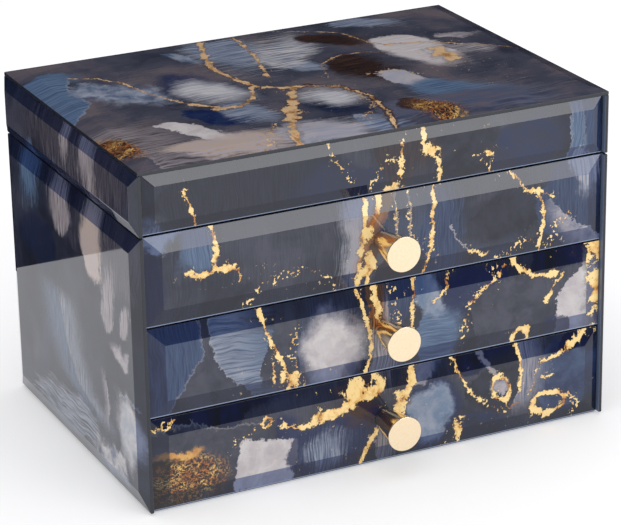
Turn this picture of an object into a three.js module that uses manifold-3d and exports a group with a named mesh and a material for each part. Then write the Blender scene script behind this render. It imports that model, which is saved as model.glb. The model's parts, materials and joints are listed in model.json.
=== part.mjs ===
// Jewelry box clad in bevelled glass: a cabinet with three drawers under a hinged lid.
// Millimetres, +Z up, front towards -Y. The origin is the centre of the felt underside.

import * as THREE from 'three';
import { ConvexGeometry } from 'three/addons/geometries/ConvexGeometry.js';
import { mergeVertices } from 'three/addons/utils/BufferGeometryUtils.js';
import Module from 'manifold-3d';

// Outside size
const WIDTH = 241;
const DEPTH = 165;
const HEIGHT = 166;

// Seams between the fronts, each given at its middle height
const DRAWER_SEAMS = [46.2, 89.8];
const LID_SEAM = 133.2;
const SEAM_GAP = 0.8;

// Sheet thicknesses
const GLASS = 4;
const BOARD = 5;
const SHELF = 3;
const FELT = 1;
const FELT_INSET = 4;

// Clearances
const GLUE_LINE = 0.15;
const SLIDE_GAP = 0.75;
const FRONT_SIDE_GAP = 0.35;
const STOP_GAP = 0.35;

// Bevels ground into the glass
const BEVEL_DEPTH = 2.4;
const WIDE_BEVEL = 8.2;
const NARROW_BEVEL = 5.8;

// Knob and its screw
const KNOB_LENGTH = 20.5;
const KNOB_BASE_RADIUS = 4.6;
const KNOB_FACE_RADIUS = 8.5;
const KNOB_CHAMFER = 0.5;
const KNOB_BORE_RADIUS = 2.2;
const KNOB_BORE_DEPTH = 8.5;
const SCREW_RADIUS = 1.9;
const SCREW_HOLE_RADIUS = 2.4;
const SCREW_DEPTH_IN_KNOB = 8;
const SCREW_HEAD_RADIUS = 3.8;
const SCREW_HEAD_HEIGHT = 2.2;
const SCREW_CROWN_RADIUS = 2.7;
const SCREW_RIM_HEIGHT = 0.9;

// Drawer boxes
const DRAWER_WALL = 4;
const DRAWER_BOTTOM = 2.5;
const DRAWER_LIFT = 0.45;
const DRAWER_HEADROOM = 3.2;
const TOP_DRAWER_HEADROOM = 1.2;
const DRAWER_BACK_ROOM = 1.4;
const LINER = 1.4;

// Tray under the lid
const TRAY_FLOOR_TOP = 119;
const TRAY_RAIL = 4;
const TRAY_DIVIDER = 3;
const TRAY_DIVIDER_HEIGHT = 11.5;
const RING_SECTION_X = -36;
const CROSS_DIVIDER_Y = 5;
const SHORT_DIVIDER_X = 38;
const RING_ROLLS = 8;
const RING_CUSHION_BASE = 4.5;
const RING_CUSHION_HEIGHT = 11.5;

// Mirror in the lid
const MIRROR = 3;
const MIRROR_WIDTH = 184;
const MIRROR_DEPTH = 112;
const MIRROR_LIP = 1.8;
const MIRROR_REBATE = 3;

// Butt hinges: leaves let into the boards at the seam, barrels behind the back glass
const HINGE_X = 70;
const LEAF_LENGTH = 32;
const LEAF = 0.6;
const BARREL_RADIUS = 2.2;
const BARREL_BORE = 1.15;
const HINGE_PIN_RADIUS = 1.05;
const BARREL_STANDOFF = 2.65;
const MIDDLE_KNUCKLE = 10;
const KNUCKLE_GAP = 0.3;
const HINGE_SEAM = 1.0;

// How far a cutting tool reaches past the piece it cuts
const CUT_MARGIN = 1;

// Sides of a full circle
const KNOB_SEGMENTS = 48;
const BARREL_SEGMENTS = 24;
const SMALL_ROUND_SEGMENTS = 20;
const ROLL_SEGMENTS = 8;

// Levels and faces worked out from the dimensions above
const halfWidth = WIDTH / 2;
const halfDepth = DEPTH / 2;
const topPaneWidth = WIDTH - 2 * BEVEL_DEPTH;
const sideGlassInside = halfWidth - GLASS;
const sideBoardOutside = sideGlassInside - GLUE_LINE;
const sideBoardInside = sideBoardOutside - BOARD;
const betweenSides = sideBoardInside - GLUE_LINE;
const glassInsideY = halfDepth - GLASS;
const boardOutsideY = glassInsideY - GLUE_LINE;
const boardInsideY = boardOutsideY - BOARD;
const cabinetFrontY = -boardInsideY + STOP_GAP;
const bodyBottom = FELT + GLUE_LINE;
const baseBoardTop = bodyBottom + BOARD;
const boardSeamLow = LID_SEAM - GLUE_LINE;
const boardSeamHigh = LID_SEAM + GLUE_LINE;
const topGlassBottom = HEIGHT - GLASS;
const lidPanelBottom = topGlassBottom - GLUE_LINE - BOARD;
const lidBoardTop = lidPanelBottom - GLUE_LINE;
const trayFloorBottom = TRAY_FLOOR_TOP - SHELF;
const trayLinerTop = TRAY_FLOOR_TOP + GLUE_LINE + LINER;
const trayFront = cabinetFrontY + TRAY_RAIL + GLUE_LINE;
const hingeAxisY = halfDepth + BARREL_STANDOFF;

const wasm = await Module();
wasm.setup();

const material = (color, roughness, metalness = 0) =>
  new THREE.MeshStandardMaterial({ color, roughness, metalness });

const finishes = {
  glass: material(0x3f465c, 0.08),
  board: material(0x2b2a33, 0.8),
  velvet: material(0x24263a, 0.95),
  felt: material(0x17171a, 0.95),
  brass: material(0xd8ad6b, 0.15, 1),
  steel: material(0xb9bcc2, 0.3, 1),
  mirror: material(0xe6e9ec, 0.02, 1),
};

const cabinet = new THREE.Group();
const lid = new THREE.Group();
const drawers = [1, 2, 3].map(() => new THREE.Group());
const box = new THREE.Group();
box.add(cabinet, lid, ...drawers);

function addMesh(group, name, geometry, finish) {
  const mesh = new THREE.Mesh(geometry, finishes[finish]);
  mesh.name = name;
  group.add(mesh);
}

// A rectangular block between two opposite corners.
function blockGeometry([x0, y0, z0], [x1, y1, z1]) {
  const geometry = new THREE.BoxGeometry(x1 - x0, y1 - y0, z1 - z0);
  geometry.translate((x0 + x1) / 2, (y0 + y1) / 2, (z0 + z1) / 2);
  return geometry;
}

function addBlock(group, name, low, high, finish) {
  addMesh(group, name, blockGeometry(low, high), finish);
}

// A round bar along X between two points of the hinge axis.
function hingeBar(radius, from, to, segments) {
  const geometry = new THREE.CylinderGeometry(radius, radius, to - from, segments);
  geometry.rotateZ(-Math.PI / 2);
  geometry.translate((from + to) / 2, hingeAxisY, LID_SEAM);
  return geometry;
}

function toSolid(geometry) {
  const bare = geometry.clone();
  bare.deleteAttribute('normal');
  bare.deleteAttribute('uv');
  const merged = mergeVertices(bare, 1e-4);
  const mesh = new wasm.Mesh({
    numProp: 3,
    vertProperties: new Float32Array(merged.attributes.position.array),
    triVerts: new Uint32Array(merged.index.array),
  });
  return new wasm.Manifold(mesh);
}

function toGeometry(solid) {
  const mesh = solid.getMesh();
  const geometry = new THREE.BufferGeometry();
  geometry.setAttribute('position', new THREE.BufferAttribute(mesh.vertProperties, 3));
  geometry.setIndex(new THREE.BufferAttribute(mesh.triVerts, 1));
  geometry.computeVertexNormals();
  return geometry;
}

const joined = (geometries) =>
  toGeometry(geometries.map(toSolid).reduce((sum, solid) => sum.add(solid)));

const cut = (geometry, tools) =>
  toGeometry(tools.map(toSolid).reduce((rest, tool) => rest.subtract(tool), toSolid(geometry)));

// A glass pane lying in XY with its back at z = 0. The bevel leaves a square-ground edge all round.
function paneGeometry(width, height, bevel) {
  const edge = GLASS - BEVEL_DEPTH;
  const corners = (inset, z) =>
    [[-1, -1], [1, -1], [1, 1], [-1, 1]].map(
      ([sx, sy]) => new THREE.Vector3(sx * (width / 2 - inset), sy * (height / 2 - inset), z),
    );
  return new ConvexGeometry([...corners(0, 0), ...corners(0, edge), ...corners(bevel, GLASS)]);
}

// An upright pane facing -Y before it is turned: turn 0 front, 90 right, 180 back, 270 left.
function uprightPane(width, [z0, z1], bevel, turnDegrees, faceDistance) {
  const geometry = paneGeometry(width, z1 - z0, bevel);
  geometry.rotateX(Math.PI / 2);
  geometry.translate(0, GLASS - faceDistance, (z0 + z1) / 2);
  geometry.rotateZ(THREE.MathUtils.degToRad(turnDegrees));
  return geometry;
}

// Cabinet shell

function addCabinet() {
  addBlock(cabinet, 'base_felt', [-halfWidth + FELT_INSET, -halfDepth + FELT_INSET, 0],
    [halfWidth - FELT_INSET, halfDepth - FELT_INSET, FELT], 'felt');
  addBlock(cabinet, 'base_board', [-sideBoardOutside, cabinetFrontY, bodyBottom],
    [sideBoardOutside, boardOutsideY, baseBoardTop], 'board');

  const wallBottom = baseBoardTop + GLUE_LINE;
  addBlock(cabinet, 'left_side_board', [-sideBoardOutside, cabinetFrontY, wallBottom],
    [-sideBoardInside, boardOutsideY, boardSeamLow], 'board');
  addBlock(cabinet, 'right_side_board', [sideBoardInside, cabinetFrontY, wallBottom],
    [sideBoardOutside, boardOutsideY, boardSeamLow], 'board');

  const backBoard = blockGeometry([-betweenSides, boardInsideY, wallBottom],
    [betweenSides, boardOutsideY, boardSeamLow]);
  addMesh(cabinet, 'back_board', cut(backBoard, hingeRecesses(boardSeamLow, -1)), 'board');

  const sideSpan = [bodyBottom, LID_SEAM - SEAM_GAP / 2];
  addMesh(cabinet, 'left_side_glass', uprightPane(DEPTH, sideSpan, WIDE_BEVEL, 270, halfWidth), 'glass');
  addMesh(cabinet, 'right_side_glass', uprightPane(DEPTH, sideSpan, WIDE_BEVEL, 90, halfWidth), 'glass');
  const backWidth = 2 * (sideGlassInside - 2 * GLUE_LINE);
  const backSpan = [bodyBottom, LID_SEAM - HINGE_SEAM];
  addMesh(cabinet, 'back_glass', uprightPane(backWidth, backSpan, WIDE_BEVEL, 180, halfDepth), 'glass');

  ['lower_shelf', 'upper_shelf'].forEach((name, i) => {
    addBlock(cabinet, name, [-betweenSides, cabinetFrontY, DRAWER_SEAMS[i] - SHELF / 2],
      [betweenSides, boardInsideY - GLUE_LINE, DRAWER_SEAMS[i] + SHELF / 2], 'board');
  });
}

// Recesses that let the hinge leaves into the edge of a back board.
function hingeRecesses(edge, direction) {
  const depth = (LEAF + 2 * GLUE_LINE) * direction;
  const beyond = edge - CUT_MARGIN * direction;
  const low = Math.min(edge + depth, beyond);
  const high = Math.max(edge + depth, beyond);
  const reach = LEAF_LENGTH / 2 + 2 * GLUE_LINE;
  return [-HINGE_X, HINGE_X].map((x) =>
    blockGeometry([x - reach, boardInsideY - CUT_MARGIN, low],
      [x + reach, boardOutsideY + CUT_MARGIN, high]));
}

// Tray under the lid

function addTray() {
  const back = boardInsideY - GLUE_LINE;
  addBlock(cabinet, 'tray_floor', [-betweenSides, cabinetFrontY, trayFloorBottom],
    [betweenSides, back, TRAY_FLOOR_TOP], 'board');
  addBlock(cabinet, 'tray_front_rail', [-betweenSides, cabinetFrontY, TRAY_FLOOR_TOP + GLUE_LINE],
    [betweenSides, cabinetFrontY + TRAY_RAIL, boardSeamLow], 'board');
  addBlock(cabinet, 'tray_liner', [-betweenSides, trayFront, TRAY_FLOOR_TOP + GLUE_LINE],
    [betweenSides, back, trayLinerTop], 'velvet');
  addMesh(cabinet, 'tray_divider', trayDividerGeometry(back), 'velvet');
  addMesh(cabinet, 'ring_cushion', ringCushionGeometry(back), 'velvet');
}

function trayDividerGeometry(back) {
  const low = trayLinerTop + GLUE_LINE;
  const high = low + TRAY_DIVIDER_HEIGHT;
  const half = TRAY_DIVIDER / 2;
  return joined([
    blockGeometry([RING_SECTION_X - half, trayFront, low], [RING_SECTION_X + half, back, high]),
    blockGeometry([RING_SECTION_X, CROSS_DIVIDER_Y - half, low],
      [betweenSides, CROSS_DIVIDER_Y + half, high]),
    blockGeometry([SHORT_DIVIDER_X - half, CROSS_DIVIDER_Y, low], [SHORT_DIVIDER_X + half, back, high]),
  ]);
}

// Soft rolls side by side, with rings held in the folds between them.
function ringCushionGeometry(back) {
  const gap = 2 * GLUE_LINE;
  const left = -betweenSides + gap;
  const right = RING_SECTION_X - TRAY_DIVIDER / 2 - gap;
  const front = trayFront + gap;
  const pitch = (back - gap - front) / RING_ROLLS;
  const rise = RING_CUSHION_HEIGHT - RING_CUSHION_BASE;

  const outline = new THREE.Shape();
  outline.moveTo(front, 0);
  outline.lineTo(back - gap, 0);
  outline.lineTo(back - gap, RING_CUSHION_BASE);
  for (let roll = RING_ROLLS - 1; roll >= 0; roll -= 1) {
    outline.absellipse(front + (roll + 0.5) * pitch, RING_CUSHION_BASE, pitch / 2, rise, 0, Math.PI, false);
  }
  outline.closePath();

  const geometry = new THREE.ExtrudeGeometry(outline, {
    depth: right - left, bevelEnabled: false, curveSegments: ROLL_SEGMENTS,
  });
  geometry.rotateX(Math.PI / 2);
  geometry.rotateZ(Math.PI / 2);
  geometry.translate(left, 0, trayLinerTop + GLUE_LINE);
  return geometry;
}

// Drawers, numbered from the top

function addDrawer(number) {
  const lowest = number === 3;
  const seamBelow = lowest ? 0 : DRAWER_SEAMS[2 - number];
  const seamAbove = number === 1 ? LID_SEAM : DRAWER_SEAMS[3 - number];
  const low = lowest ? bodyBottom : seamBelow + SEAM_GAP / 2;
  const high = seamAbove - SEAM_GAP / 2;
  const boxLow = (lowest ? baseBoardTop : seamBelow + SHELF / 2) + DRAWER_LIFT;
  const boxHigh = number === 1
    ? trayFloorBottom - TOP_DRAWER_HEADROOM
    : seamAbove - SHELF / 2 - DRAWER_HEADROOM;
  const name = (piece) => `drawer_${number}_${piece}`;

  const drawer = drawers[number - 1];

  addDrawerFront(drawer, name, low, high);
  addDrawerBox(drawer, name, boxLow, boxHigh);
  addKnob(drawer, name, (low + high) / 2);
}

function addDrawerFront(drawer, name, low, high) {
  const frontWidth = 2 * (sideGlassInside - FRONT_SIDE_GAP);
  const middle = (low + high) / 2;
  const pane = uprightPane(frontWidth, [low, high], WIDE_BEVEL, 0, halfDepth);
  const hole = new THREE.CylinderGeometry(SCREW_HOLE_RADIUS, SCREW_HOLE_RADIUS, DEPTH, BARREL_SEGMENTS);
  hole.translate(0, -halfDepth, middle);
  addMesh(drawer, name('front_glass'), cut(pane, [hole]), 'glass');

  const inset = 2 * GLUE_LINE;
  const board = blockGeometry([-frontWidth / 2 + inset, -boardOutsideY, low + inset],
    [frontWidth / 2 - inset, -boardInsideY, high - inset]);
  addMesh(drawer, name('front_board'), cut(board, [hole]), 'board');
}

function addDrawerBox(drawer, name, low, high) {
  const outside = sideBoardInside - SLIDE_GAP;
  const inside = outside - DRAWER_WALL;
  const front = -boardInsideY + GLUE_LINE;
  const back = boardInsideY - DRAWER_BACK_ROOM;
  const backInside = back - DRAWER_WALL;
  const between = inside - GLUE_LINE;

  addBlock(drawer, name('left_side'), [-outside, front, low], [-inside, back, high], 'board');
  addBlock(drawer, name('right_side'), [inside, front, low], [outside, back, high], 'board');
  addBlock(drawer, name('back'), [-between, backInside, low], [between, back, high], 'board');
  addBlock(drawer, name('bottom'), [-between, front, low],
    [between, backInside - GLUE_LINE, low + DRAWER_BOTTOM], 'board');
  const linerLow = low + DRAWER_BOTTOM + GLUE_LINE;
  addBlock(drawer, name('liner'), [-between + GLUE_LINE, front + GLUE_LINE, linerLow],
    [between - GLUE_LINE, backInside - 2 * GLUE_LINE, linerLow + LINER], 'velvet');
}

// A cone that flares to a flat polished face, held by a screw from inside the drawer.
function addKnob(drawer, name, height) {
  const knobProfile = [
    [0, KNOB_BORE_DEPTH],
    [KNOB_BORE_RADIUS, KNOB_BORE_DEPTH],
    [KNOB_BORE_RADIUS, 0],
    [KNOB_BASE_RADIUS, 0],
    [KNOB_FACE_RADIUS, KNOB_LENGTH - KNOB_CHAMFER],
    [KNOB_FACE_RADIUS - KNOB_CHAMFER, KNOB_LENGTH],
    [0, KNOB_LENGTH],
  ];
  const knob = latheForward(knobProfile, KNOB_SEGMENTS);
  knob.translate(0, -halfDepth - GLUE_LINE, height);
  addMesh(drawer, name('knob'), knob, 'brass');

  const tip = SCREW_DEPTH_IN_KNOB + halfDepth - boardInsideY;
  const screwProfile = [
    [0, -SCREW_HEAD_HEIGHT],
    [SCREW_CROWN_RADIUS, -SCREW_HEAD_HEIGHT],
    [SCREW_HEAD_RADIUS, -SCREW_RIM_HEIGHT],
    [SCREW_HEAD_RADIUS, 0],
    [SCREW_RADIUS, 0],
    [SCREW_RADIUS, tip],
    [0, tip],
  ];
  const screw = latheForward(screwProfile, SMALL_ROUND_SEGMENTS);
  screw.translate(0, -boardInsideY + GLUE_LINE, height);
  addMesh(drawer, name('knob_screw'), screw, 'steel');
}

// Turns a profile of [radius, distance forward] points about an axis that points to the front.
function latheForward(profile, segments) {
  const geometry = new THREE.LatheGeometry(profile.map(([r, y]) => new THREE.Vector2(r, y)), segments);
  geometry.rotateX(Math.PI);
  return geometry;
}

// Lid

function addLid() {
  const top = paneGeometry(topPaneWidth, DEPTH, WIDE_BEVEL);
  top.translate(0, 0, topGlassBottom);
  addMesh(lid, 'lid_top_glass', top, 'glass');

  const stripSpan = [LID_SEAM + SEAM_GAP / 2, topGlassBottom - GLUE_LINE];
  const backSpan = [LID_SEAM + HINGE_SEAM, topGlassBottom - GLUE_LINE];
  const between = 2 * (sideGlassInside - 2 * GLUE_LINE);
  addMesh(lid, 'lid_front_glass', uprightPane(between, stripSpan, NARROW_BEVEL, 0, halfDepth), 'glass');
  addMesh(lid, 'lid_back_glass', uprightPane(between, backSpan, NARROW_BEVEL, 180, halfDepth), 'glass');
  addMesh(lid, 'lid_left_glass', uprightPane(DEPTH, stripSpan, NARROW_BEVEL, 270, halfWidth), 'glass');
  addMesh(lid, 'lid_right_glass', uprightPane(DEPTH, stripSpan, NARROW_BEVEL, 90, halfWidth), 'glass');

  addBlock(lid, 'lid_panel', [-sideBoardOutside, -boardOutsideY, lidPanelBottom],
    [sideBoardOutside, boardOutsideY, topGlassBottom - GLUE_LINE], 'board');
  addBlock(lid, 'lid_left_board', [-sideBoardOutside, -boardOutsideY, boardSeamHigh],
    [-sideBoardInside, boardOutsideY, lidBoardTop], 'board');
  addBlock(lid, 'lid_right_board', [sideBoardInside, -boardOutsideY, boardSeamHigh],
    [sideBoardOutside, boardOutsideY, lidBoardTop], 'board');
  addBlock(lid, 'lid_front_board', [-betweenSides, -boardOutsideY, boardSeamHigh],
    [betweenSides, -boardInsideY, lidBoardTop], 'board');
  const backBoard = blockGeometry([-betweenSides, boardInsideY, boardSeamHigh],
    [betweenSides, boardOutsideY, lidBoardTop]);
  addMesh(lid, 'lid_back_board', cut(backBoard, hingeRecesses(boardSeamHigh, 1)), 'board');

  addBlock(lid, 'lid_mirror', [-MIRROR_WIDTH / 2, -MIRROR_DEPTH / 2, lidBoardTop - MIRROR],
    [MIRROR_WIDTH / 2, MIRROR_DEPTH / 2, lidBoardTop], 'mirror');
  addMesh(lid, 'lid_mirror_frame', mirrorFrameGeometry(), 'velvet');
}

// A padded border whose lip holds the mirror against the lid panel.
function mirrorFrameGeometry() {
  const mirrorBottom = lidBoardTop - MIRROR - GLUE_LINE;
  const border = blockGeometry(
    [-betweenSides + GLUE_LINE, -boardInsideY + GLUE_LINE, mirrorBottom - MIRROR_LIP],
    [betweenSides - GLUE_LINE, boardInsideY - GLUE_LINE, lidBoardTop]);
  const seatX = MIRROR_WIDTH / 2 + GLUE_LINE;
  const seatY = MIRROR_DEPTH / 2 + GLUE_LINE;
  const seat = blockGeometry([-seatX, -seatY, mirrorBottom], [seatX, seatY, HEIGHT]);
  const windowX = MIRROR_WIDTH / 2 - MIRROR_REBATE;
  const windowY = MIRROR_DEPTH / 2 - MIRROR_REBATE;
  const windowCut = blockGeometry([-windowX, -windowY, mirrorBottom - MIRROR_LIP - CUT_MARGIN],
    [windowX, windowY, HEIGHT]);
  return cut(border, [seat, windowCut]);
}

// Hinges

function addHinge(side, x) {
  const half = MIDDLE_KNUCKLE / 2;
  const end = LEAF_LENGTH / 2;
  const cabinetKnuckles = [[-end, -half - KNUCKLE_GAP], [half + KNUCKLE_GAP, end]];
  const lidKnuckles = [[-half, half]];
  const cabinetLeaf = leafGeometry(x, boardSeamLow - LEAF, cabinetKnuckles);
  const lidLeaf = leafGeometry(x, boardSeamHigh, lidKnuckles);
  addMesh(cabinet, `${side}_hinge_cabinet_leaf`, cabinetLeaf, 'brass');
  addMesh(lid, `${side}_hinge_lid_leaf`, lidLeaf, 'brass');
  const pin = hingeBar(HINGE_PIN_RADIUS, x - end, x + end, SMALL_ROUND_SEGMENTS);
  addMesh(cabinet, `${side}_hinge_pin`, pin, 'steel');
}

// A flat leaf whose knuckles wrap the pin, with a tab reaching each knuckle.
function leafGeometry(x, leafLow, knuckles) {
  const plateBack = hingeAxisY - BARREL_RADIUS - KNUCKLE_GAP;
  const pieces = [
    blockGeometry([x - LEAF_LENGTH / 2, boardInsideY, leafLow],
      [x + LEAF_LENGTH / 2, plateBack, leafLow + LEAF]),
  ];
  const bores = [];
  knuckles.forEach(([from, to]) => {
    pieces.push(blockGeometry([x + from, plateBack - CUT_MARGIN, leafLow],
      [x + to, hingeAxisY, leafLow + LEAF]));
    pieces.push(hingeBar(BARREL_RADIUS, x + from, x + to, BARREL_SEGMENTS));
    bores.push(hingeBar(BARREL_BORE, x + from - CUT_MARGIN, x + to + CUT_MARGIN, SMALL_ROUND_SEGMENTS));
  });
  return cut(joined(pieces), bores);
}

addCabinet();
addTray();
[1, 2, 3].forEach(addDrawer);
addLid();
addHinge('left', -HINGE_X);
addHinge('right', HINGE_X);

export default box;
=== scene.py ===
"""Looks of a glass-clad jewelry box: three drawers under a hinged lid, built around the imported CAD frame.

Blender works in metres. The ink print on the glass is laid out in millimetres of the row frame.
"""
import json
import math

import bmesh
import bpy
from mathutils import Matrix, Vector

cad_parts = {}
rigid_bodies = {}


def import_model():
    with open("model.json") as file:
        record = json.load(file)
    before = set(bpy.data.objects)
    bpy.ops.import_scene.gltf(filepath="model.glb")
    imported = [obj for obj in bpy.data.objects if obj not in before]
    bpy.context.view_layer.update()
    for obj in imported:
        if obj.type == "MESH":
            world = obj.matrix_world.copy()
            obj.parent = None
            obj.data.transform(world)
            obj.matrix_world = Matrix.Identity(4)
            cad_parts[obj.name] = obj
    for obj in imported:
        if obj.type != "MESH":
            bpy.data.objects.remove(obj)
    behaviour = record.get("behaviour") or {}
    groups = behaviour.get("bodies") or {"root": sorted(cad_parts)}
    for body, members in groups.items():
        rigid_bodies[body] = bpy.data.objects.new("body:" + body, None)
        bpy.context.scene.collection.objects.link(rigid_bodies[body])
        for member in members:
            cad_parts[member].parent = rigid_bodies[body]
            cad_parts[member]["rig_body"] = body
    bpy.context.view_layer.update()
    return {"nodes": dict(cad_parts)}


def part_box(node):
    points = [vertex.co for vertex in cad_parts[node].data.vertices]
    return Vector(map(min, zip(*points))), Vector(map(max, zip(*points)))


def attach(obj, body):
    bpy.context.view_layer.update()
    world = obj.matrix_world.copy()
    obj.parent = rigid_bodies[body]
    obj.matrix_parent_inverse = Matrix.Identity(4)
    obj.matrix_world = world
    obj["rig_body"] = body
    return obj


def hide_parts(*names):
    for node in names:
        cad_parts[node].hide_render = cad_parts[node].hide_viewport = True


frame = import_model()

MM = 0.001

# Camera
CAMERA_TARGET = Vector((1.5, -3.2, 73)) * MM
CAMERA_DISTANCE = 1327.7 * MM
CAMERA_AZIMUTH = math.radians(-25.6)
CAMERA_ELEVATION = math.radians(21.39)
CAMERA_ROLL = math.radians(-1.03)
CAMERA_LENS = 159.9
CAMERA_SENSOR = 36

# Stage, in metres
FLOOR_SIDE = 12
FLOOR_GLOW = 0.3
BACKDROP_SIZE = (8, 3)
BACKDROP_DISTANCE = 0.235
PURE_WHITE = (1, 1, 1, 1)
DAYLIGHT_GREY = (0.74, 0.74, 0.76, 1)
DIM_GREY = (0.2, 0.21, 0.23, 1)

# Glass panes, in millimetres; the smear, the painted bevel shade and the painted glint's strength are
# shares
WIDE_BEVEL = 8.2
NARROW_BEVEL = 5.8
BEVEL_DEPTH = 2.4
GLASS_THICKNESS = 4
BEVEL_SMEAR = 0.6
# Painted shade in the ground bevels: its share on the top pane and on the other panes
TOP_BEVEL_SHADE = 0.15
SIDE_BEVEL_SHADE = 0.8
# A painted glint: a pale line along the bottom edge of each front pane, full below its foot and gone above
# its head, in millimetres over the edge
GLINT_FOOT = 0.4
GLINT_HEAD = 0.7
GLINT_STRENGTH = 0.7
IOR_OF_GLASS = 1.5

# How far the print's edges are torn and its shapes drift, in millimetres
JAG_REACH = 3.6
DRIFT_REACH = 10
CALM_REACH = 4

# Between the thinnest and the thickest stretch of a vein, in shares of its width
VEIN_SWELL = (0.45, 1.5)

# Nearly all of a noise lies between these
NOISE_SPAN = (0.3, 0.7)

# How far edges are rounded, in millimetres
GLASS_ARRIS = 0.25
BOARD_ARRIS = 0.35
LEAF_ARRIS = 0.1
PIN_ARRIS = 0.15
MIRROR_ARRIS = 0.2
MIRROR_FRAME_ARRIS = 0.8
DIVIDER_ARRIS = 1.1
FELT_ARRIS = 0.3

# Knobs
KNOB_FACE_RADIUS = 8.5 * MM
KNOB_BASE_RADIUS = 4.6 * MM
KNOB_BORE_RADIUS = 2.2 * MM
KNOB_BORE_DEPTH = 8.5 * MM
KNOB_FACE_ARRIS = 0.5 * MM
KNOB_BASE_ARRIS = 0.25 * MM
KNOB_SEGMENTS = 96

# Soft pieces
RING_ROLLS = 8
RING_BASE = 4.5 * MM
LINER_EDGE = 2.4 * MM

DRAWERS = (1, 2, 3)

# When points count as one, a corner as flat, and an edge as sharp
SAME_POINT = 1e-6
FLAT_ANGLE = math.radians(1)
SHARP_ANGLE = math.radians(14)


# ---- camera, floor and lights

def put_in_scene(item):
    bpy.context.scene.collection.objects.link(item)


def add_camera():
    azimuth, elevation = CAMERA_AZIMUTH, CAMERA_ELEVATION
    back = Vector((math.sin(azimuth) * math.cos(elevation),
                   -math.cos(azimuth) * math.cos(elevation),
                   math.sin(elevation)))
    level = Vector((0, 0, 1)).cross(back).normalized()
    rise = back.cross(level)
    right = level * math.cos(CAMERA_ROLL) + rise * math.sin(CAMERA_ROLL)
    up = rise * math.cos(CAMERA_ROLL) - level * math.sin(CAMERA_ROLL)
    data = bpy.data.cameras.new("camera")
    data.lens = CAMERA_LENS
    data.sensor_width = CAMERA_SENSOR
    camera = bpy.data.objects.new("camera", data)
    turn = Matrix((right, up, back)).transposed().to_4x4()
    camera.matrix_world = Matrix.Translation(CAMERA_TARGET + back * CAMERA_DISTANCE) @ turn
    put_in_scene(camera)
    bpy.context.scene.camera = camera


def add_area_light(name, place, aim, size, radiance, in_reflections):
    """A soft light that sends out the same radiance all over; its power follows from its size."""
    data = bpy.data.lights.new(name, "AREA")
    data.shape = "RECTANGLE"
    data.size, data.size_y = size
    data.energy = radiance * math.pi * size[0] * size[1]
    light = bpy.data.objects.new(name, data)
    light.location = place
    light.rotation_euler = (Vector(aim) - Vector(place)).to_track_quat("-Z", "Y").to_euler()
    light.visible_glossy = in_reflections
    light.visible_camera = False
    put_in_scene(light)


def add_world():
    """White to the camera, soft daylight grey on the surfaces, and dim in their reflections."""
    world = bpy.data.worlds.new("studio")
    bpy.context.scene.world = world
    world.use_nodes = True
    graph = Graph(world.node_tree)
    path = graph.node("ShaderNodeLightPath")
    seen = graph.mix(path.outputs["Is Glossy Ray"], DAYLIGHT_GREY, DIM_GREY)
    colour = graph.mix(path.outputs["Is Camera Ray"], seen, PURE_WHITE)
    background = graph.node("ShaderNodeBackground", {"Color": colour})
    output = graph.node("ShaderNodeOutputWorld")
    graph.links.new(background.outputs[0], output.inputs["Surface"])


def add_floor():
    floor = grid_object("floor", 1, 1, lambda s, t: FLOOR_SIDE * Vector((s - 0.5, t - 0.5, 0)))
    floor.data.materials.append(floor_material())


def add_dark_backdrop():
    """A dark screen behind the box that only mirror-like surfaces see, as in a product studio."""
    width, height = BACKDROP_SIZE
    backdrop = grid_object("backdrop", 1, 1,
                           lambda s, t: Vector((width * (s - 0.5), BACKDROP_DISTANCE, height * t)))
    backdrop.data.materials.append(backdrop_material())
    backdrop.visible_camera = False
    backdrop.visible_diffuse = False
    backdrop.visible_shadow = False


def add_stage():
    bpy.context.scene.view_settings.view_transform = "Standard"
    add_world()
    add_floor()
    add_dark_backdrop()
    add_area_light("low_softbox", place=(0.655, -1.35, 0.56), aim=(0, -0.08, 0.13), size=(0.8, 0.47),
                   radiance=4.6, in_reflections=True)
    add_area_light("overhead", place=(-0.3, -0.3, 1.8), aim=(0, 0, 0.1), size=(1.6, 1.6),
                   radiance=0.9, in_reflections=False)


# ---- node graphs

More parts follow.
